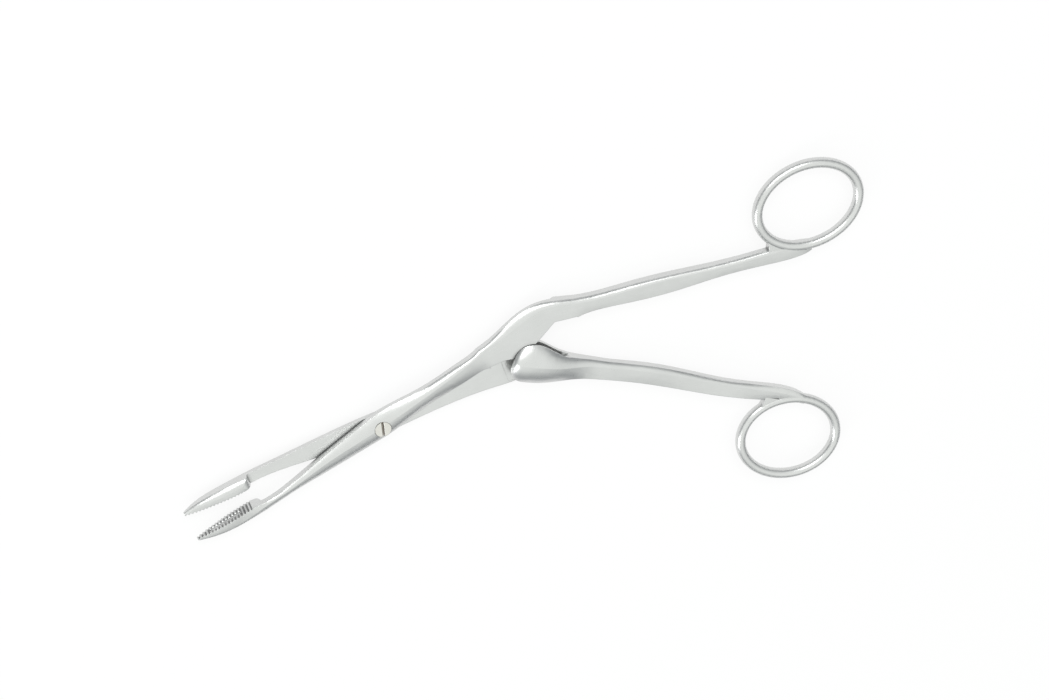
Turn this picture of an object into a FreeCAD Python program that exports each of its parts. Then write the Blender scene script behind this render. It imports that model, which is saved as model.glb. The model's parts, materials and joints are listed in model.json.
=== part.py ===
import FreeCAD
import Part
import math
import os
import Sketcher

Vector = FreeCAD.Vector
doc = FreeCAD.newDocument("ring_handled_forceps")
sheet = doc.addObject("Spreadsheet::Sheet", "Sizes")

# Driving sizes in millimetres and degrees.
# Both halves are drawn with the jaws shut: the bite plane is y = 0, the lap plane is z = 0 and the
# screw stands at the origin. The jaws point along -X, and the placements at the end open them.
driving = {
    "restOpening": 8.8,
    "lapGap": 0.04,
    "jointCrown": 2.6,
    "crownBulge": 0.2,
    "leastBulge": 0.02,
    # Serrated jaws
    "biteGap": 0.06,
    "toothDepth": 0.42,
    "toothPitch": 0.94,
    "toothCount": 18,
    "toothTopFlat": 0.08,
    "firstTooth": -54.48,
    "channelStart": -50.4,
    "channelEnd": -40.9,
    "channelRadius": 0.62,
    "channelLift": 0.14,
    "heelShoulder": -35.6,
    "shoulderRadius": 2.0,
    # Screw joint
    "screwShank": 2.6,
    "screwHead": 4.3,
    "screwHeadThickness": 0.95,
    "screwTop": 2.5,
    "screwBack": 2.5,
    "screwSlotWidth": 0.6,
    "screwSlotDepth": 0.55,
    "screwSlotAngle": 77,
    "runningClearance": 0.05,
    "threadClearance": 0.01,
    # Elbow of the front half, a flat tongue that swings in the fork
    "tongueTop": 2.0,
    "lapEnd": 52.6,
    "tongueHollow": 0.6,
    # Fork of the rear half
    "slotClearance": 0.05,
    "slotStart": 34.0,
    "slotFloorStart": -4.35,
    "slotFloorEnd": -4.2,
    "slotFloorDip": 0.9,
    "slotEnd": 51.5,
    "slotTop": 9.0,
    # Handles, each drawn along its own axis from a start point, dropping below the X axis
    "frontDrop": 20.8,
    "frontAxisX": 50.0,
    "frontAxisY": 2.52,
    "rearDrop": 37.6,
    "rearAxisX": 41.2,
    "rearAxisY": -0.51,
    # Finger rings: oval, long axis along the handle, with a web in the nook between ring and handle
    "ringLong": 12.5,
    "ringShort": 10.3,
    "ringBand": 2.7,
    "ringThickness": 2.9,
    "ringLevel": 0.35,
    "frontRingAlong": 71.35,
    "frontRingAside": 11.9,
    "rearRingAlong": 80.6,
    "rearRingAside": -11.35,
    "webHollow": 0.5,
    "webThickness": 2.2,
}

# Every section across a half has a sharp crease along its crown. Its sizes are the place of the
# section, the low edge, how far the side reaches there, the crease and its height, the high edge, how
# far the side reaches there, and the depth of the back as a share of the front. The edges of the
# jaws' bite have no size of their own: they lie at the crests of the teeth.
sectionFields = ("at", "low", "lowSide", "crease", "top", "high", "highSide", "back")
frontForging = {
    "Tip": (-54.0, -0.65, 0.25, -0.25, 0.4, None, 0.4, 1),
    "Point": (-51.3, -1.6, 0.5, -0.95, 0.95, None, 1.0, 1),
    "Bite": (-46.5, -2.7, 0.75, -1.8, 1.45, None, 1.65, 1),
    "Heel": (-39.2, -3.1, 1.0, -1.95, 1.7, None, 1.85, 1),
    "Notch": (-35.0, -3.05, 1.05, -1.4, 1.95, -0.48, 1.65, 1),
    "Arm": (-28.0, -2.72, 1.1, -1.0, 2.1, -0.12, 1.6, 1),
    "Waist": (-16.0, -2.9, 1.15, 0.3, 2.45, 2.05, 1.7, 1),
    "Cross": (-7.0, -3.0, 1.2, 0.6, 2.6, 3.4, 1.7, 1),
    "Screw": (2.2, -2.95, 1.2, 0.8, 2.6, 4.25, 1.3, 1),
    "Shank": (9.0, -2.1, 1.15, 1.15, 2.5, 3.65, 1.2, 1),
    "Slim": (16.0, -1.7, 1.1, 1.65, 2.35, 3.25, 1.15, 1),
    "Flare": (25.0, -1.65, 1.3, 2.55, 2.25, 3.72, 1.1, 1),
    "Bend": (30.5, -1.7, 1.6, 3.35, 2.05, 4.5, 1.0, 1),
    "Elbow": (37.0, -3.9, 1.9, 4.1, 1.98, 5.5, 0.95, 1),
    "Crown": (43.0, -3.9, 1.95, 4.87, 2.0, 6.92, 0.9, 1),
    "Knee": (48.5, -3.9, 1.95, 5.2, 2.0, 6.85, 0.9, 1),
}
rearForging = {
    "Tip": (-53.7, None, 0.4, 0.25, 0.45, 0.65, 0.25, 1),
    "Point": (-51.3, None, 1.0, 0.95, 1.0, 1.6, 0.5, 1),
    "Bite": (-46.5, None, 1.6, 1.3, 1.75, 2.6, 0.8, 1),
    "Heel": (-39.2, None, 1.85, 1.5, 2.0, 3.05, 1.1, 1),
    "Notch": (-35.0, 0.38, 1.65, 1.9, 2.0, 3.25, 1.2, 1),
    "Arm": (-28.0, 0.25, 1.2, 1.9, 2.05, 3.4, 1.2, 1),
    "Waist": (-16.0, -1.42, 1.2, 1.2, 2.4, 3.68, 1.2, 1),
    "Screw": (0.0, -2.95, 1.2, 0.3, 2.6, 3.5, 1.2, 1),
    "Shank": (14.0, -3.0, 1.25, -0.2, 2.4, 2.35, 1.25, 1),
    "Plate": (31.0, -4.4, 1.5, -0.6, 2.45, 2.65, 1.5, 1),
    "Root": (38.0, -4.9, 1.6, -0.8, 2.45, 3.2, 1.6, 1),
}
# The bulb's places are distances along the handle, the handles' are shares of the way to the ring
frontHandle = {
    "Turn": (0.1, -2.9, 1.8, 1.6, 2.0, 2.7, 1.0, 0.65),
    "Grip": (0.3, -2.36, 1.75, 1.3, 2.0, 2.36, 1.0, 0.65),
    "Middle": (0.55, -2.2, 1.7, 1.1, 1.95, 1.98, 1.0, 0.65),
    "Neck": (0.8, -1.95, 1.5, 0.8, 1.75, 1.78, 0.9, 0.62),
    "End": (1, -1.2, 1.2, 0.4, 1.5, 1.3, 0.9, 0.6),
}
rearBulb = {
    "Nose": (-5.0, -3.3, 1.6, -0.7, 2.9, 1.2, 1.6, 0.75),
    "Cheek": (-4.2, -4.7, 1.9, -0.7, 3.7, 3.0, 1.9, 0.66),
    "Brow": (-2.4, -5.85, 2.1, -0.6, 4.35, 4.4, 2.2, 0.59),
    "Dome": (0.0, -6.0, 2.2, -0.4, 4.6, 4.9, 2.3, 0.56),
    "Slope": (4.0, -5.6, 2.2, -0.1, 4.5, 4.1, 2.3, 0.57),
    "Fall": (8.0, -4.65, 2.1, 0.1, 3.9, 3.0, 2.0, 0.62),
    "Throat": (12.0, -3.55, 1.9, 0.6, 3.0, 2.65, 1.6, 0.65),
    "Collar": (17.0, -2.6, 1.8, 1.2, 2.2, 2.72, 1.2, 0.65),
}
rearHandle = {
    "Grip": (0.32, -1.95, 1.75, 1.7, 2.0, 2.95, 1.1, 0.65),
    "Middle": (0.55, -1.85, 1.7, 1.8, 1.95, 2.95, 1.1, 0.65),
    "Neck": (0.8, -1.7, 1.5, 1.4, 1.75, 2.5, 1.0, 0.62),
    "End": (1, -0.9, 1.2, 0.4, 1.5, 1.3, 0.9, 0.6),
}


def setSizes(table, prefix=""):
    for name, value in table.items():
        row = str(setSizes.nextRow)
        sheet.set("A" + row, prefix + name)
        sheet.set("B" + row, str(value))
        sheet.setAlias("B" + row, prefix + name)
        setSizes.nextRow += 1


setSizes.nextRow = 1
setSizes(driving)
sectionTables = {"front": frontForging, "rear": rearForging, "frontHandle": frontHandle,
                 "rearBulb": rearBulb, "rearHandle": rearHandle}
for tableName, table in sectionTables.items():
    for sectionName, values in table.items():
        sizes = {field: value for field, value in zip(sectionFields, values) if value is not None}
        setSizes(sizes, tableName + sectionName + "_")
doc.recompute()


def evaluate(expression):
    return float(sheet.evalExpression(expression.replace("Sizes.", "")))


def originPlane(body, role):
    return [feature for feature in body.Origin.OriginFeatures if feature.Role == role][0]


def addSketch(body, name, role):
    sketch = body.newObject("Sketcher::SketchObject", name)
    sketch.AttachmentSupport = [(originPlane(body, role), "")]
    sketch.MapMode = "FlatFace"
    return sketch


def bindOffset(sketch, x="0", y="0", z="0", drop=None):
    # Moves a sketch off its plane, and turns it about the sketch's own upright axis
    if drop:
        turned = FreeCAD.Rotation(Vector(0, -1, 0), evaluate(drop))
        sketch.AttachmentOffset = FreeCAD.Placement(Vector(), turned)
        sketch.setExpression("AttachmentOffset.Rotation.Angle", drop)
    sketch.setExpression("AttachmentOffset.Base.x", x)
    sketch.setExpression("AttachmentOffset.Base.y", y)
    sketch.setExpression("AttachmentOffset.Base.z", z)


def constrain(sketch, kind, references, expression):
    index = sketch.addConstraint(Sketcher.Constraint(kind, *references, evaluate(expression)))
    sketch.setExpression("Constraints[%d]" % index, expression)


def pinPoint(sketch, geometry, end, x, y):
    # Holds a point at signed distances from the sketch's origin
    for kind, expression in (("DistanceX", x), ("DistanceY", y)):
        if evaluate(expression) < 0:
            constrain(sketch, kind, (geometry, end, -1, 1), "-(" + expression + ")")
        else:
            constrain(sketch, kind, (-1, 1, geometry, end), expression)


def bulgedArc(start, end, rise):
    # Counterclockwise arc from start to end that rises to the right of the way from start to end
    chord = end - start
    half = chord.Length / 2
    radius = (half ** 2 + rise ** 2) / (2 * rise)
    outward = Vector(chord.y, -chord.x, 0).normalize()
    centre = (start + end) * 0.5 + outward * (rise - radius)
    first = math.atan2(start.y - centre.y, start.x - centre.x)
    last = math.atan2(end.y - centre.y, end.x - centre.x)
    return Part.ArcOfCircle(Part.Circle(centre, Vector(0, 0, 1), radius), first, last)


def polygonSketch(sketch, points):
    # Closed outline of straight edges and arcs. A corner is (x, y), and (x, y, rise) where an arc
    # leads on from it to the next corner, all as expressions.
    corners = [Vector(evaluate(point[0]), evaluate(point[1]), 0) for point in points]
    for index, point in enumerate(points):
        start = corners[index]
        end = corners[(index + 1) % len(points)]
        if len(point) == 2:
            sketch.addGeometry(Part.LineSegment(start, end), False)
        elif evaluate(point[2]) > 0:
            sketch.addGeometry(bulgedArc(start, end, evaluate(point[2])), False)
        else:
            sketch.addGeometry(bulgedArc(end, start, -evaluate(point[2])), False)
    for index, point in enumerate(points):
        reversedArc = len(point) == 3 and evaluate(point[2]) < 0
        following = points[(index + 1) % len(points)]
        followingReversed = len(following) == 3 and evaluate(following[2]) < 0
        lastEnd = 1 if reversedArc else 2
        firstEnd = 2 if followingReversed else 1
        sketch.addConstraint(Sketcher.Constraint(
            "Coincident", index, lastEnd, (index + 1) % len(points), firstEnd))
    for index, point in enumerate(points):
        reversedArc = len(point) == 3 and evaluate(point[2]) < 0
        pinPoint(sketch, index, 2 if reversedArc else 1, point[0], point[1])
        if len(point) == 3:
            following = points[(index + 1) % len(points)]
            half = "((%s - (%s))^2 + (%s - (%s))^2) / 4" % (following[0], point[0], following[1], point[1])
            rise = "abs(%s)" % point[2]
            constrain(sketch, "Radius", (index,), "(%s + %s^2) / (2 * %s)" % (half, rise, rise))


def creasedSection(body, table, name, axis=None, along=None):
    # Section across a half or a handle: two straight sides, and on each face two arcs that meet in a crease
    cell = "Sizes." + table + name + "_"
    bite = "(Sizes.toothDepth - Sizes.biteGap) / 2"
    values = sectionTables[table][name]
    low = cell + "low" if values[1] is not None else "-" + bite
    high = cell + "high" if values[5] is not None else bite
    crease, top, back = cell + "crease", cell + "top", cell + "back"
    lowSide, highSide = cell + "lowSide", cell + "highSide"
    sketch = addSketch(body, table + name + "Section", "YZ_Plane")
    if axis:
        axisX, axisY, drop = axis
        bindOffset(sketch, x="%s - %s * sin(%s)" % (axisY, along, drop),
                   z="%s + %s * cos(%s)" % (axisX, along, drop), drop=drop)
    else:
        bindOffset(sketch, z=cell + "at")
    lowBulge = "(Sizes.leastBulge + Sizes.crownBulge * abs(%s - %s))" % (top, lowSide)
    highBulge = "(Sizes.leastBulge + Sizes.crownBulge * abs(%s - %s))" % (top, highSide)
    polygonSketch(sketch, [
        (low, "-%s * %s" % (lowSide, back), "%s * %s" % (lowBulge, back)),
        (crease, "-%s * %s" % (top, back), "%s * %s" % (highBulge, back)),
        (high, "-%s * %s" % (highSide, back)),
        (high, highSide, highBulge),
        (crease, top, lowBulge),
        (low, lowSide),
    ])
    return sketch


def addLoft(body, name, sections):
    loft = body.newObject("PartDesign::AdditiveLoft", name)
    loft.Profile = sections[0]
    loft.Sections = sections[1:]
    body.Tip = loft
    return loft


def addPocket(body, name, sketch, length, symmetric=False):
    # A pocket goes against the sketch's normal, or both ways from the sketch
    pocket = body.newObject("PartDesign::Pocket", name)
    pocket.Profile = sketch
    pocket.SideType = "Symmetric" if symmetric else "One side"
    pocket.setExpression("Length", length)
    body.Tip = pocket
    return pocket


def addPad(body, name, sketch, length):
    pad = body.newObject("PartDesign::Pad", name)
    pad.Profile = sketch
    pad.setExpression("Length", length)
    body.Tip = pad
    return pad


def millLap(body, half):
    # The lap side is milled flat from the heel shoulder on, with the cutter's radius at the shoulder.
    # On the front half the cut runs out at 45 degrees where the handle begins.
    side = "-1" if half == "front" else "1"
    sketch = addSketch(body, half + "LapSketch", "XZ_Plane")
    start, radius = "Sizes.heelShoulder", "Sizes.shoulderRadius"
    depth = "2 * Sizes.jointCrown"
    level = "%s * Sizes.lapGap / -2" % side
    reach = "%s * %s" % (side, depth)
    bend = "%s * %s + %s" % (side, radius, level)
    sagitta = "Sizes.shoulderRadius * (1 - sqrt(0.5))"
    if half == "front":
        points = [("%s - %s" % (start, radius), reach), ("Sizes.lapEnd + %s" % depth, reach),
                  ("Sizes.lapEnd", level), (start, level, "-" + sagitta), ("%s - %s" % (start, radius), bend)]
    else:
        far = "Sizes.slotEnd"
        points = [(start, level), (far, level), (far, reach), ("%s - %s" % (start, radius), reach),
                  ("%s - %s" % (start, radius), bend, "-" + sagitta)]
    polygonSketch(sketch, points)
    return addPocket(body, half + "LapMilling", sketch, "4 * Sizes.screwHead", symmetric=True)


def cutTeeth(body, half):
    # V grooves across the bite face, half a pitch apart on the two jaws so that they mesh
    side = "1" if half == "front" else "-1"
    crest = "%s * (Sizes.toothDepth - Sizes.biteGap) / 2" % side
    bottom = "%s - %s * Sizes.toothDepth" % (crest, side)
    above = "%s + %s * Sizes.toothDepth / 2" % (crest, side)
    middle = "Sizes.firstTooth" + ("" if half == "front" else " + Sizes.toothPitch / 2")
    width = "(Sizes.toothPitch - Sizes.toothTopFlat) * 0.75"
    sketch = addSketch(body, half + "ToothSketch", "XY_Plane")
    points = [(middle, bottom), ("%s + %s" % (middle, width), above), ("%s - %s" % (middle, width), above)]
    if half == "rear":
        points.reverse()
    polygonSketch(sketch, points)
    groove = addPocket(body, half + "ToothGroove", sketch, "2 * Sizes.screwHead", symmetric=True)
    pattern = body.newObject("PartDesign::LinearPattern", half + "Teeth")
    pattern.Originals = [groove]
    pattern.Direction = (originPlane(body, "X_Axis"), [""])
    pattern.Mode = "Spacing"
    pattern.setExpression("Offset", "Sizes.toothPitch")
    pattern.setExpression("Occurrences", "Sizes.toothCount")
    body.Tip = pattern
    sketch = addSketch(body, half + "ChannelSketch", "YZ_Plane")
    bindOffset(sketch, z="Sizes.channelEnd")
    centre = "%s + %s * Sizes.channelLift" % (crest, side)
    circle = Part.Circle(Vector(evaluate(centre), 0, 0), Vector(0, 0, 1), evaluate("Sizes.channelRadius"))
    sketch.addGeometry(circle, False)
    constrain(sketch, "Radius", (0,), "Sizes.channelRadius")
    pinPoint(sketch, 0, 3, centre, "0")
    addPocket(body, half + "Channel", sketch, "Sizes.channelEnd - Sizes.channelStart")


def circleSketch(body, name, level, diameter):
    sketch = addSketch(body, name, "XY_Plane")
    bindOffset(sketch, z=level)
    sketch.addGeometry(Part.Circle(Vector(), Vector(0, 0, 1), evaluate(diameter) / 2), False)
    sketch.addConstraint(Sketcher.Constraint("Coincident", 0, 3, -1, 1))
    constrain(sketch, "Diameter", (0,), diameter)
    return sketch


def turnedSketch(body, name, axis, along, aside, level):
    # Sketch on the lap plane with its first axis along the handle and its origin at a place of the handle
    axisX, axisY, drop = axis
    sketch = addSketch(body, name, "XY_Plane")
    turned = FreeCAD.Rotation(Vector(0, 0, -1), evaluate(drop))
    sketch.AttachmentOffset = FreeCAD.Placement(Vector(), turned)
    sketch.setExpression("AttachmentOffset.Rotation.Angle", drop)
    sketch.setExpression("AttachmentOffset.Base.x",
                         "%s + %s * cos(%s) + %s * sin(%s)" % (axisX, along, drop, aside, drop))
    sketch.setExpression("AttachmentOffset.Base.y",
                         "%s - %s * sin(%s) + %s * cos(%s)" % (axisY, along, drop, aside, drop))
    sketch.setExpression("AttachmentOffset.Base.z", level)
    return sketch


def addRing(body, half, axis, along, aside):
    # Oval finger ring: a rounded band swept round an ellipse whose long axis follows the handle
    axisX, axisY, drop = axis
    centreX = "%s + %s * cos(%s) + %s * sin(%s)" % (axisX, along, drop, aside, drop)
    centreY = "%s - %s * sin(%s) + %s * cos(%s)" % (axisY, along, drop, aside, drop)
    longAxis = "Sizes.ringLong + Sizes.ringBand / 2"
    shortAxis = "Sizes.ringShort + Sizes.ringBand / 2"
    spine = turnedSketch(body, half + "RingPath", axis, along, aside, "Sizes.ringLevel")
    addEllipse(spine, longAxis, shortAxis)
    profile = addSketch(body, half + "RingProfile", "XZ_Plane")
    bindOffset(profile, x="%s + (%s) * cos(%s)" % (centreX, longAxis, drop), y="Sizes.ringLevel",
               z="-(%s - (%s) * sin(%s))" % (centreY, longAxis, drop), drop=drop)
    addEllipse(profile, "Sizes.ringBand / 2", "Sizes.ringThickness / 2")
    ring = body.newObject("PartDesign::AdditivePipe", half + "Ring")
    ring.Profile = profile
    ring.Spine = spine
    body.Tip = ring
    return ring


def addWeb(body, half, axis, along, aside):
    # Fills the narrow end of the nook between ring and handle, with a hollow edge
    side = "1" if half == "front" else "-1"
    sketch = turnedSketch(body, half + "WebSketch", axis, along, aside,
                          "Sizes.ringLevel - Sizes.webThickness / 2")
    band = "(Sizes.ringLong + Sizes.ringBand / 2)"
    edge = "-%s * (abs(%s) - 0.6)" % (side, aside)
    hollow = "-%s * Sizes.webHollow" % side
    polygonSketch(sketch, [
        ("-0.87 * " + band, edge), ("-0.45 * " + band, edge),
        ("-0.76 * " + band, "-%s * 0.67 * (Sizes.ringShort + Sizes.ringBand / 2)" % side),
        ("-0.87 * " + band, "-%s * 0.6 * (Sizes.ringShort + Sizes.ringBand / 2)" % side, hollow),
    ])
    return addPad(body, half + "Web", sketch, "Sizes.webThickness")


def addEllipse(sketch, halfX, halfY):
    # Ellipse about the sketch's origin, with its axes on the sketch's axes
    x, y = evaluate(halfX), evaluate(halfY)
    if x > y:
        ellipse = Part.Ellipse(Vector(x, 0, 0), Vector(0, y, 0), Vector())
    else:
        ellipse = Part.Ellipse(Vector(0, y, 0), Vector(-x, 0, 0), Vector())
    sketch.addGeometry(ellipse, False)
    sketch.exposeInternalGeometry(0)
    sketch.addConstraint(Sketcher.Constraint("Coincident", 0, 3, -1, 1))
    major, minor = (halfX, halfY) if x > y else (halfY, halfX)
    axis = -1 if x > y else -2
    sketch.addConstraint(Sketcher.Constraint("PointOnObject", 1, 1, axis))
    constrain(sketch, "Distance", (1,), "2 * (%s)" % major)
    constrain(sketch, "Distance", (2,), "2 * (%s)" % minor)


frontAxis = ("Sizes.frontAxisX", "Sizes.frontAxisY", "Sizes.frontDrop")
rearAxis = ("Sizes.rearAxisX", "Sizes.rearAxisY", "Sizes.rearDrop")

# Front half: lower jaw, arm over the screw, flat elbow, upper handle and ring
front = doc.addObject("PartDesign::Body", "front_half")
front.Label = "front_half"
ringPlace = ("Sizes.frontRingAlong", "Sizes.frontRingAside")
sections = [creasedSection(front, "front", name) for name in frontForging]
split = list(frontForging).index("Bend")
for name in frontHandle:
    share = "Sizes.frontHandle%s_at * %s" % (name, ringPlace[0])
    sections.append(creasedSection(front, "frontHandle", name, frontAxis, share))
addLoft(front, "frontShank", sections[:split + 1])
addLoft(front, "frontHandle", sections[split:])
millLap(front, "front")
cutTeeth(front, "front")

# Under the elbow the metal is cut back to the tongue's edge and to the sharp nook before the handle
nook = addSketch(front, "nookSketch", "XY_Plane")
bindOffset(nook, z="2 * Sizes.jointCrown")
polygonSketch(nook, [
    ("31", "-1.55"), ("34.9", "-2.1"), ("38", "-3.65", "Sizes.tongueHollow"), ("42.4", "-3.28"),
    ("50.6", "-0.1"), ("56.2", "-2.45"), ("56.2", "-12"), ("31", "-12"),
])
addPocket(front, "elbowNook", nook, "4 * Sizes.jointCrown")
addRing(front, "front", frontAxis, *ringPlace)
addWeb(front, "front", frontAxis, *ringPlace)
headFloor = "Sizes.screwTop - Sizes.screwHeadThickness"
bore = circleSketch(front, "boreSketch", "Sizes.jointCrown + 1", "Sizes.screwShank + 2 * Sizes.runningClearance")
addPocket(front, "screwBore", bore, "2 * Sizes.jointCrown")
seat = circleSketch(front, "seatSketch", "Sizes.jointCrown + 1", "Sizes.screwHead + 2 * Sizes.runningClearance")
addPocket(front, "headSeat", seat, "Sizes.jointCrown + 1 + Sizes.lapGap - (%s)" % headFloor)

# Rear half: upper jaw, arm behind the screw, lap plate, fork, lower handle and ring
rear = doc.addObject("PartDesign::Body", "rear_half")
rear.Label = "rear_half"
ringPlace = ("Sizes.rearRingAlong", "Sizes.rearRingAside")
addLoft(rear, "rearForging", [creasedSection(rear, "rear", name) for name in rearForging])
millLap(rear, "rear")
cutTeeth(rear, "rear")
sections = []
for name in rearBulb:
    sections.append(creasedSection(rear, "rearBulb", name, rearAxis, "Sizes.rearBulb%s_at" % name))
for name in rearHandle:
    share = "Sizes.rearHandle%s_at * %s" % (name, ringPlace[0])
    sections.append(creasedSection(rear, "rearHandle", name, rearAxis, share))
addLoft(rear, "rearHandle", sections)
slot = addSketch(rear, "slotSketch", "XY_Plane")
bindOffset(slot, z="Sizes.tongueTop + Sizes.slotClearance")
polygonSketch(slot, [
    ("Sizes.slotStart", "Sizes.slotFloorStart", "Sizes.slotFloorDip"), ("Sizes.slotEnd", "Sizes.slotFloorEnd"),
    ("Sizes.slotEnd", "Sizes.slotTop"), ("Sizes.slotStart", "Sizes.slotTop"),
])
addPocket(rear, "forkSlot", slot, "Sizes.tongueTop + 2 * Sizes.slotClearance")
addRing(rear, "rear", rearAxis, *ringPlace)
addWeb(rear, "rear", rearAxis, *ringPlace)
threadHole = circleSketch(rear, "threadHoleSketch", "Sizes.jointCrown",
                          "Sizes.screwShank + 2 * Sizes.threadClearance")
addPocket(rear, "threadHole", threadHole, "2 * Sizes.jointCrown + 1")

# Joint screw: flat slotted head in the front half, plain shank, threaded end in the rear half
screw = doc.addObject("PartDesign::Body", "joint_screw")
screw.Label = "joint_screw"
addPad(screw, "shank", circleSketch(screw, "shankSketch", "-Sizes.screwBack", "Sizes.screwShank"),
       "Sizes.screwBack + " + headFloor)
addPad(screw, "head", circleSketch(screw, "headSketch", headFloor, "Sizes.screwHead"), "Sizes.screwHeadThickness")
driveSlot = addSketch(screw, "driveSlotSketch", "XY_Plane")
driveSlot.AttachmentOffset = FreeCAD.Placement(
    Vector(), FreeCAD.Rotation(Vector(0, 0, 1), evaluate("Sizes.screwSlotAngle")))
driveSlot.setExpression("AttachmentOffset.Rotation.Angle", "Sizes.screwSlotAngle")
driveSlot.setExpression("AttachmentOffset.Base.z", "Sizes.screwTop")
polygonSketch(driveSlot, [
    ("-Sizes.screwHead", "-Sizes.screwSlotWidth / 2"), ("Sizes.screwHead", "-Sizes.screwSlotWidth / 2"),
    ("Sizes.screwHead", "Sizes.screwSlotWidth / 2"), ("-Sizes.screwHead", "Sizes.screwSlotWidth / 2"),
])
addPocket(screw, "driveSlot", driveSlot, "Sizes.screwSlotDepth")

doc.recompute()

# The jaws stand open at rest. The part's origin is under the middle of its box.
halfOpen = evaluate("Sizes.restOpening") / 2
upright = Vector(0, 0, 1)
turns = {front: halfOpen, rear: -halfOpen, screw: -halfOpen}
for body, turn in turns.items():
    body.Placement = FreeCAD.Placement(Vector(), FreeCAD.Rotation(upright, turn))
doc.recompute()
whole = FreeCAD.BoundBox()
for body in turns:
    whole.add(body.Shape.optimalBoundingBox(False, False))
shift = Vector(-whole.Center.x, -whole.Center.y, -whole.ZMin)
for body, turn in turns.items():
    body.Placement = FreeCAD.Placement(shift, FreeCAD.Rotation(upright, turn))
doc.recompute()

for item in doc.Objects:
    if "Invalid" in item.State or "Error" in item.State:
        raise RuntimeError("%s failed" % item.Label)
os.makedirs("parts", exist_ok=True)
for body in turns:
    shape = body.Shape
    if shape.isNull() or not shape.isValid() or len(shape.Solids) != 1:
        raise RuntimeError("%s is not one sound solid" % body.Label)
for body in turns:
    body.Shape.exportStep("parts/%s.step" % body.Label)
    print(body.Label, "volume", round(body.Shape.Volume, 1), "box", body.Shape.BoundBox)
print("pivot", [round(value, 3) for value in shift], "size", whole.XLength, whole.YLength, whole.ZLength)
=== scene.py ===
import bpy
import json
import math
from mathutils import Matrix, Vector

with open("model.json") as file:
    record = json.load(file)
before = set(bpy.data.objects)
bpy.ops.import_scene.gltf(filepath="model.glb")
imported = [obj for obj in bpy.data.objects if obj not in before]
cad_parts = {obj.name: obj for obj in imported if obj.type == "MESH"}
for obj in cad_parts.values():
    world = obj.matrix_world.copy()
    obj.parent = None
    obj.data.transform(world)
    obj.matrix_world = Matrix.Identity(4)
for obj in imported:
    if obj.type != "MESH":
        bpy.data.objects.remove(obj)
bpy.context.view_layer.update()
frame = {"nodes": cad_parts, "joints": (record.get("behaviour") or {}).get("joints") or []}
print("frame loaded:", ", ".join(sorted(frame["nodes"])))

hinge = Vector(frame["joints"][0]["pos_m"])

# The camera: where it looks, from which side, and how far it is rolled about its own line of sight
cameraView = {"aim": hinge + Vector((0.0407, -0.0008, 0)), "azimuth": 184.6, "elevation": 54.0,
              "distance": 0.7545, "roll": 148.0, "lens": 102.96, "sensor": 36.0, "near": 0.01, "far": 20.0}


def placeCamera(view):
    azimuth = math.radians(view["azimuth"])
    elevation = math.radians(view["elevation"])
    back = Vector((math.sin(azimuth) * math.cos(elevation), -math.cos(azimuth) * math.cos(elevation),
                   math.sin(elevation)))
    bpy.ops.object.camera_add(location=view["aim"] + back * view["distance"])
    camera = bpy.context.object
    camera.name = "studioCamera"
    camera.data.lens = view["lens"]
    camera.data.sensor_width = view["sensor"]
    camera.data.clip_start = view["near"]
    camera.data.clip_end = view["far"]
    upright = (-back).to_track_quat("-Z", "Y").to_matrix()
    roll = Matrix.Rotation(math.radians(view["roll"]), 3, "Z")
    camera.rotation_euler = (upright @ roll).to_euler()
    bpy.context.scene.camera = camera


placeCamera(cameraView)
print("camera placed")

# Small helpers for node trees


def addNode(tree, kind, place, inputs=None, **settings):
    node = tree.nodes.new(kind)
    node.location = place
    for name, value in settings.items():
        setattr(node, name, value)
    for name, value in (inputs or {}).items():
        socket = node.inputs[name]
        if isinstance(value, bpy.types.NodeSocket):
            tree.links.new(value, socket)
        else:
            socket.default_value = value
    return node


def newGroup(name, inputs, outputs):
    tree = bpy.data.node_groups.new(name, "ShaderNodeTree")
    for label, kind, value in inputs:
        socket = tree.interface.new_socket(label, in_out="INPUT", socket_type=kind)
        if value is not None:
            socket.default_value = value
    for label, kind in outputs:
        tree.interface.new_socket(label, in_out="OUTPUT", socket_type=kind)
    start = addNode(tree, "NodeGroupInput", (-900, 0))
    end = addNode(tree, "NodeGroupOutput", (900, 0))
    return tree, start.outputs, end.inputs


def newMaterial(name):
    material = bpy.data.materials.new(name)
    material.use_nodes = True
    tree = material.node_tree
    tree.nodes.clear()
    return material, tree


# Fine satin grain: long hair lines drawn out along X, and a soft cloudiness of the finish

grainLook = {"stretch": 30.0, "lines": 9000.0, "lineDetail": 3.0, "lineRoughness": 0.6,
             "cloud": 160.0, "cloudDetail": 4.0, "cloudRoughness": 0.55}


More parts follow.
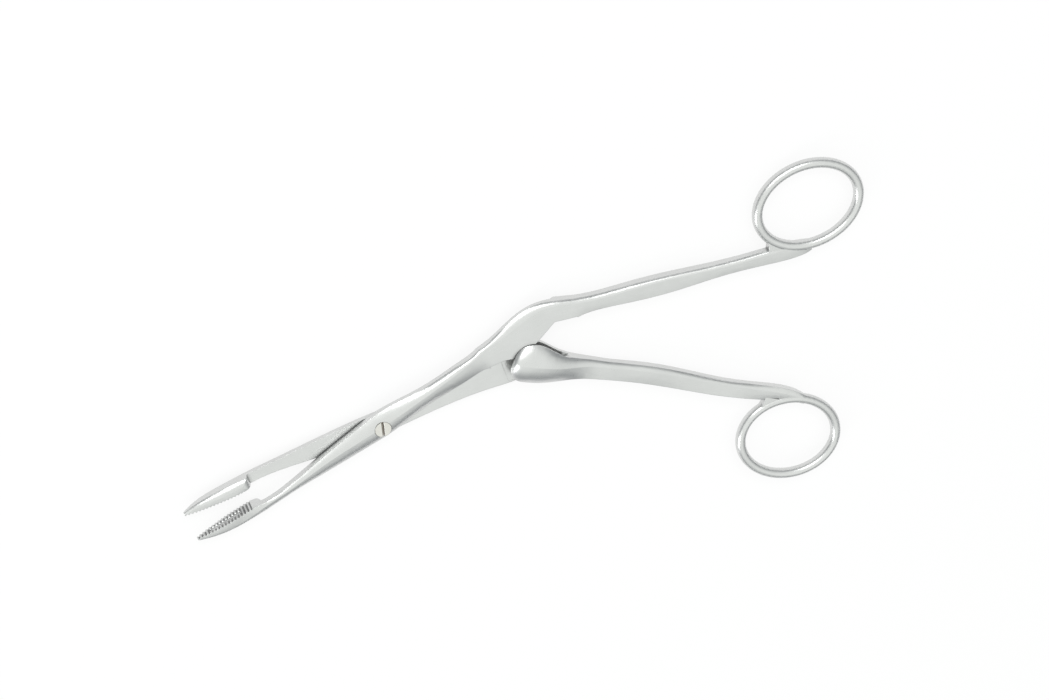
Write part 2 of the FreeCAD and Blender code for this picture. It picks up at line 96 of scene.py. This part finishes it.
def satinGrainGroup(look):
    tree, given, made = newGroup(
        "satinGrain",
        [("Coordinate", "NodeSocketVector", None), ("Turn", "NodeSocketFloat", 0.0),
         ("Stretch", "NodeSocketFloat", look["stretch"]), ("Lines", "NodeSocketFloat", look["lines"])],
        [("Hairlines", "NodeSocketFloat"), ("Cloud", "NodeSocketFloat")])
    turned = addNode(tree, "ShaderNodeVectorRotate", (-700, 100),
                     {"Vector": given["Coordinate"], "Angle": given["Turn"]}, rotation_type="Z_AXIS")
    shrink = addNode(tree, "ShaderNodeMath", (-700, -120), {0: 1.0, 1: given["Stretch"]},
                     operation="DIVIDE")
    factors = addNode(tree, "ShaderNodeCombineXYZ", (-500, -120),
                      {"X": shrink.outputs[0], "Y": 1.0, "Z": 1.0})
    drawnOut = addNode(tree, "ShaderNodeVectorMath", (-300, 100),
                       {0: turned.outputs[0], 1: factors.outputs[0]}, operation="MULTIPLY")
    lines = addNode(tree, "ShaderNodeTexNoise", (-100, 160),
                    {"Vector": drawnOut.outputs[0], "Scale": given["Lines"],
                     "Detail": look["lineDetail"], "Roughness": look["lineRoughness"]})
    cloud = addNode(tree, "ShaderNodeTexNoise", (-100, -160),
                    {"Vector": given["Coordinate"], "Scale": look["cloud"],
                     "Detail": look["cloudDetail"], "Roughness": look["cloudRoughness"]})
    tree.links.new(lines.outputs["Fac"], made["Hairlines"])
    tree.links.new(cloud.outputs["Fac"], made["Cloud"])
    return tree


# Painted shade along each ground edge: a darker line where the rounded normal leaves the true one; the
# rounded normal also goes out to soften the edge

edgeShadeLook = {"radius": 0.0003, "samples": 8, "flat": 0.97, "sharp": 0.8}


def edgeShadeLineGroup(look):
    tree, given, made = newGroup(
        "edgeShadeLine",
        [("Radius", "NodeSocketFloat", look["radius"])],
        [("Line", "NodeSocketFloat"), ("Softened", "NodeSocketVector")])
    soft = addNode(tree, "ShaderNodeBevel", (-500, 100), {"Radius": given["Radius"]},
                   samples=look["samples"])
    true = addNode(tree, "ShaderNodeNewGeometry", (-500, -100))
    alike = addNode(tree, "ShaderNodeVectorMath", (-300, 0),
                    {0: soft.outputs[0], 1: true.outputs["Normal"]}, operation="DOT_PRODUCT")
    line = addNode(tree, "ShaderNodeMapRange", (-100, 0),
                   {"Value": alike.outputs["Value"], "From Min": look["flat"], "From Max": look["sharp"],
                    "To Min": 0.0, "To Max": 1.0})
    tree.links.new(line.outputs[0], made["Line"])
    tree.links.new(soft.outputs[0], made["Softened"])
    return tree


# Crevices that the light hardly reaches: between the teeth, in the slots and along the lapped edges

creviceLook = {"reach": 0.001, "samples": 6, "dark": 0.35, "clear": 0.92}


def creviceShadeGroup(look):
    tree, given, made = newGroup(
        "creviceShade",
        [("Reach", "NodeSocketFloat", look["reach"])],
        [("Crevice", "NodeSocketFloat")])
    hidden = addNode(tree, "ShaderNodeAmbientOcclusion", (-500, 0), {"Distance": given["Reach"]},
                     samples=look["samples"])
    depth = addNode(tree, "ShaderNodeMapRange", (-200, 0),
                    {"Value": hidden.outputs["AO"], "From Min": look["dark"], "From Max": look["clear"],
                     "To Min": 1.0, "To Max": 0.0})
    tree.links.new(depth.outputs[0], made["Crevice"])
    return tree


groups = {"satinGrain": satinGrainGroup(grainLook), "edgeShadeLine": edgeShadeLineGroup(edgeShadeLook),
          "creviceShade": creviceShadeGroup(creviceLook)}
print("shared effects built")

# Satin stainless steel: the turn of the brushing before and after each half's bend, in degrees, and
# its colours

# The crevice colour of each piece is the painted shade put into its crevices
steelLooks = {
    "front_half": {"jawTurn": 4.4, "handleTurn": -16.4, "bendAt": 0.005,
                   "steel": (0.695, 0.70, 0.693, 1), "crevice": (0.05, 0.052, 0.055, 1)},
    "rear_half": {"jawTurn": -4.4, "handleTurn": -42.0, "bendAt": 0.002,
                  "steel": (0.695, 0.70, 0.693, 1), "crevice": (0.05, 0.052, 0.055, 1)},
    "joint_screw": {"jawTurn": 40.0, "handleTurn": 40.0, "bendAt": 0.0,
                    "steel": (0.78, 0.765, 0.72, 1), "crevice": (0.1, 0.07, 0.045, 1)},
}
# The edge tone and edge share give the painted shade line along every edge
steelFinish = {"roughness": 0.34, "roughnessSwing": 0.08, "tintSwing": 0.06, "bendSpread": 0.004,
               "grainLow": 0.3, "grainHigh": 0.7, "grainStrength": 0.6, "grainHeight": 0.000004,
               "edgeRadius": 0.00015, "edgeShadeTone": (0.42, 0.43, 0.44, 1), "edgeShadeShare": 0.4,
               "creviceReach": 0.0012}


def satinSteel(name, look, finish):
    material, tree = newMaterial(name)
    place = addNode(tree, "ShaderNodeTexCoord", (-1500, 0)).outputs["Object"]
    # The brushing follows the jaws and shank up to the bend, and the handle after it
    along = addNode(tree, "ShaderNodeSeparateXYZ", (-1300, -200), {"Vector": place})
    bend = addNode(tree, "ShaderNodeMapRange", (-1100, -200),
                   {"Value": along.outputs["X"], "From Min": look["bendAt"] - finish["bendSpread"],
                    "From Max": look["bendAt"] + finish["bendSpread"],
                    "To Min": -math.radians(look["jawTurn"]), "To Max": -math.radians(look["handleTurn"])})
    grain = addNode(tree, "ShaderNodeGroup", (-900, 0), node_tree=groups["satinGrain"])
    tree.links.new(place, grain.inputs["Coordinate"])
    tree.links.new(bend.outputs[0], grain.inputs["Turn"])
    edge = addNode(tree, "ShaderNodeGroup", (-900, -300), node_tree=groups["edgeShadeLine"])
    edge.inputs["Radius"].default_value = finish["edgeRadius"]
    cloudy = addNode(tree, "ShaderNodeMapRange", (-600, 200),
                     {"Value": grain.outputs["Cloud"], "To Min": 1 - finish["tintSwing"],
                      "To Max": 1 + finish["tintSwing"]})
    tinted = addNode(tree, "ShaderNodeMix", (-400, 200), data_type="RGBA", blend_type="MULTIPLY")
    tinted.inputs["Factor"].default_value = 1.0
    tinted.inputs["A"].default_value = look["steel"]
    tree.links.new(cloudy.outputs[0], tinted.inputs["B"])
    # The colour turns towards the edge tone along the edges: a painted shade line
    share = addNode(tree, "ShaderNodeMath", (-600, -100), {0: edge.outputs["Line"], 1: finish["edgeShadeShare"]},
                    operation="MULTIPLY")
    colour = addNode(tree, "ShaderNodeMix", (-200, 200), data_type="RGBA")
    tree.links.new(share.outputs[0], colour.inputs["Factor"])
    tree.links.new(tinted.outputs["Result"], colour.inputs["A"])
    colour.inputs["B"].default_value = finish["edgeShadeTone"]
    # Painted shade in the crevices: the colour turns towards the crevice colour where the light hardly
    # reaches
    crevice = addNode(tree, "ShaderNodeGroup", (-600, 450), node_tree=groups["creviceShade"])
    crevice.inputs["Reach"].default_value = finish["creviceReach"]
    shaded = addNode(tree, "ShaderNodeMix", (0, 200), data_type="RGBA")
    tree.links.new(crevice.outputs["Crevice"], shaded.inputs["Factor"])
    tree.links.new(colour.outputs["Result"], shaded.inputs["A"])
    shaded.inputs["B"].default_value = look["crevice"]
    rough = addNode(tree, "ShaderNodeMapRange", (-400, -100),
                    {"Value": grain.outputs["Hairlines"], "From Min": finish["grainLow"],
                     "From Max": finish["grainHigh"],
                     "To Min": finish["roughness"] - finish["roughnessSwing"],
                     "To Max": finish["roughness"] + finish["roughnessSwing"]})
    bump = addNode(tree, "ShaderNodeBump", (-400, -400),
                   {"Height": grain.outputs["Hairlines"], "Normal": edge.outputs["Softened"],
                    "Strength": finish["grainStrength"], "Distance": finish["grainHeight"]})
    shader = addNode(tree, "ShaderNodeBsdfPrincipled", (100, 0),
                     {"Base Color": shaded.outputs["Result"], "Metallic": 1.0,
                      "Roughness": rough.outputs[0], "Normal": bump.outputs[0]})
    end = addNode(tree, "ShaderNodeOutputMaterial", (400, 0))
    tree.links.new(shader.outputs[0], end.inputs["Surface"])
    return material


for node, look in steelLooks.items():
    piece = frame["nodes"][node]
    piece.data.materials.clear()
    piece.data.materials.append(satinSteel(node.replace("_", "") + "Satin", look, steelFinish))
print("steel finished")

# Plain pale floor: nearly white to the camera and in what the steel mirrors, and it keeps the shadow


def whiteRays(tree, share):
    # The share of plain white for rays from the camera, off the steel and through glass
    rays = addNode(tree, "ShaderNodeLightPath", (-700, 300))
    seen = addNode(tree, "ShaderNodeMath", (-500, 300),
                   {0: rays.outputs["Is Camera Ray"], 1: rays.outputs["Is Glossy Ray"]}, operation="ADD")
    seen = addNode(tree, "ShaderNodeMath", (-350, 300),
                   {0: seen.outputs[0], 1: rays.outputs["Is Transmission Ray"]},
                   operation="ADD", use_clamp=True)
    white = addNode(tree, "ShaderNodeMath", (-200, 300), {0: seen.outputs[0], 1: share},
                    operation="MULTIPLY")
    return white.outputs[0]


floorLook = {"side": 6.0, "height": -0.0001, "pale": (0.9, 0.9, 0.9, 1), "white": (1, 1, 1, 1),
             "whiteShare": 0.86}
bpy.ops.mesh.primitive_plane_add(size=floorLook["side"], location=(0, 0, floorLook["height"]))
floor = bpy.context.object
floor.name = "paleFloor"
material, tree = newMaterial("paleFloor")
share = whiteRays(tree, floorLook["whiteShare"])
plain = addNode(tree, "ShaderNodeBsdfDiffuse", (-200, 0), {"Color": floorLook["pale"]})
white = addNode(tree, "ShaderNodeEmission", (-200, -150), {"Color": floorLook["white"], "Strength": 1.0})
mixed = addNode(tree, "ShaderNodeMixShader", (100, 0),
                {0: share, 1: plain.outputs[0], 2: white.outputs[0]})
end = addNode(tree, "ShaderNodeOutputMaterial", (400, 0), {"Surface": mixed.outputs[0]})
floor.data.materials.append(material)
print("floor laid")

# Soft studio light: a pale room that is brightest overhead, a long softbox on the camera's side,
# and a smaller one low on the left

room = {"horizon": (0.15, 0.165, 0.18, 1), "zenith": (1.02, 1.04, 1.02, 1), "low": 0.08, "high": 0.74,
        "backdrop": (1, 1, 1, 1)}
world = bpy.data.worlds.new("paleRoom")
bpy.context.scene.world = world
world.use_nodes = True
tree = world.node_tree
tree.nodes.clear()
direction = addNode(tree, "ShaderNodeTexCoord", (-1000, -100))
height = addNode(tree, "ShaderNodeSeparateXYZ", (-800, -100), {"Vector": direction.outputs["Generated"]})
climb = addNode(tree, "ShaderNodeMapRange", (-600, -100),
                {"Value": height.outputs["Z"], "From Min": room["low"], "From Max": room["high"]})
walls = addNode(tree, "ShaderNodeMix", (-400, -100), data_type="RGBA")
tree.links.new(climb.outputs[0], walls.inputs["Factor"])
walls.inputs["A"].default_value = room["horizon"]
walls.inputs["B"].default_value = room["zenith"]
rays = addNode(tree, "ShaderNodeLightPath", (-400, 200))
shown = addNode(tree, "ShaderNodeMix", (-200, 0), data_type="RGBA")
tree.links.new(rays.outputs["Is Camera Ray"], shown.inputs["Factor"])
tree.links.new(walls.outputs["Result"], shown.inputs["A"])
shown.inputs["B"].default_value = room["backdrop"]
glow = addNode(tree, "ShaderNodeBackground", (0, 0), {"Color": shown.outputs["Result"], "Strength": 1.0})
end = addNode(tree, "ShaderNodeOutputWorld", (200, 0), {"Surface": glow.outputs[0]})

softboxes = {
    "cameraSide": {"place": (0.1, 1.15, 1.02), "size": (1.3, 0.36), "power": 7.5},
    "leftFill": {"place": (-1.2, -0.3, 0.55), "size": (0.35, 0.7), "power": 4.0},
}
for name, box in softboxes.items():
    bpy.ops.object.light_add(type="AREA", location=box["place"])
    lamp = bpy.context.object
    lamp.name = name
    lamp.data.shape = "RECTANGLE"
    lamp.data.size, lamp.data.size_y = box["size"]
    lamp.data.energy = box["power"]
    lamp.rotation_euler = (-Vector(box["place"])).to_track_quat("-Z", "Y").to_euler()
print("lamps set")

bpy.context.scene.view_settings.view_transform = "Standard"
